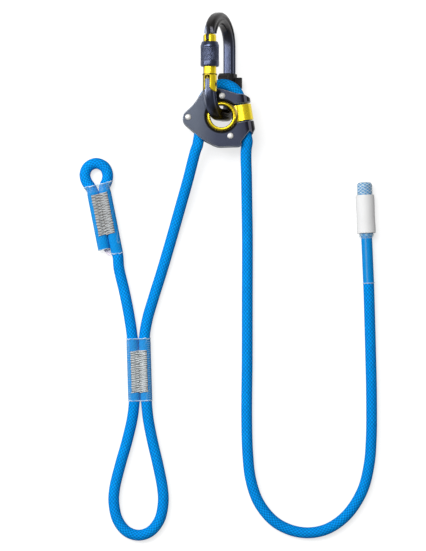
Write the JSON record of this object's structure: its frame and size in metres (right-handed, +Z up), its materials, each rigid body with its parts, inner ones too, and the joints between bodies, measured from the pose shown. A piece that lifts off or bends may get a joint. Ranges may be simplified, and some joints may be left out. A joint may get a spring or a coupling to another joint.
{
  "type": "y-lanyard",
  "caption": "Rope lanyard lying flat: stitched eye, stitched harness loop, rope adjuster with a swivelling eye and screw-gate connector, and a free tail with a stopper end.",
  "frame": {"origin": "on the floor, under the middle of the adjuster and its connector", "axes": "+Z up off the floor it lies on, +Y along the connector from the adjuster to its top bend, +X towards the rope's free tail"},
  "size_m": [0.2671, 0.471, 0.0569],
  "materials": {
    "rope": "tight blue braid with light tracer yarns",
    "anodised": "dark blue-grey anodised, satin",
    "gold": "gold anodised, satin",
    "steel": "plain turned steel",
    "rubber": "matt black rubber",
    "thread": "grey bar-tack thread",
    "film": "clear shrink film",
    "paper": "white printed sleeve, left bare"
  },
  "bodies": {
    "adjuster": {"adjuster_shell": "anodised", "rivet_top": "steel", "rivet_left": "steel", "rivet_low": "steel", "spacer_top": "steel", "spacer_left": "steel", "spacer_low": "steel", "rope_standing": "rope", "rope_in_adjuster": "rope", "rope_tail": "rope", "rope_end_stop": "rope", "mid_seam_film": "film", "mid_stitching": "thread", "eye_seam_film": "film", "eye_stitching": "thread", "eye_label": "paper", "tail_shrink_tube": "film", "tail_sleeve_label": "paper"},
    "adjuster_eye": {"adjuster_eye": "gold"},
    "connector": {"connector_body": "anodised", "keeper": "rubber", "gate_pivot": "steel"},
    "gate": {"gate": "gold", "gate_spring": "steel"},
    "gate_plunger": {"gate_plunger": "steel"},
    "sleeve_ring": {"sleeve_ring": "steel"},
    "screw_sleeve": {"screw_sleeve": "anodised"}
  },
  "joints": [
    {"name": "eye_rock", "type": "hinge", "parent": "adjuster", "child": "adjuster_eye", "pos_m": [0.0025, -0.0323, 0.0226], "axis": [0, 0, 1], "range_deg": [-1, 1]},
    {"name": "connector_swing", "type": "hinge", "parent": "adjuster_eye", "child": "connector", "pos_m": [0.0025, -0.0323, 0.0226], "axis": [0, 0, 1], "range_deg": [-20, 10]},
    {"name": "gate_hinge", "type": "hinge", "parent": "connector", "child": "gate", "pos_m": [-0.00788, -0.0062, 0.04857], "axis": [-0.9205, 0, -0.3907], "range_deg": [0, 28], "stiffness_Nm_per_rad": 0.15, "springref_deg": -57.3},
    {"name": "plunger_slide", "type": "slide", "parent": "gate", "child": "gate_plunger", "axis": [0, 1, 0], "range_m": [0, 0.001], "deforming": ["gate_spring"]},
    {"name": "sleeve_travel", "type": "slide", "parent": "gate", "child": "sleeve_ring", "axis": [0, 1, 0], "range_m": [-0.0053, 0.0067]},
    {"name": "sleeve_turn", "type": "hinge", "parent": "sleeve_ring", "child": "screw_sleeve", "pos_m": [-0.00788, 0.0095, 0.04857], "axis": [0, 1, 0], "range_deg": [-468, 594]}
  ],
  "couplings": [
    {"joint": "plunger_slide", "follows": "gate_hinge", "m_per_rad": 0.001637},
    {"joint": "sleeve_travel", "follows": "sleeve_turn", "m_per_rad": 0.00063662}
  ]
}
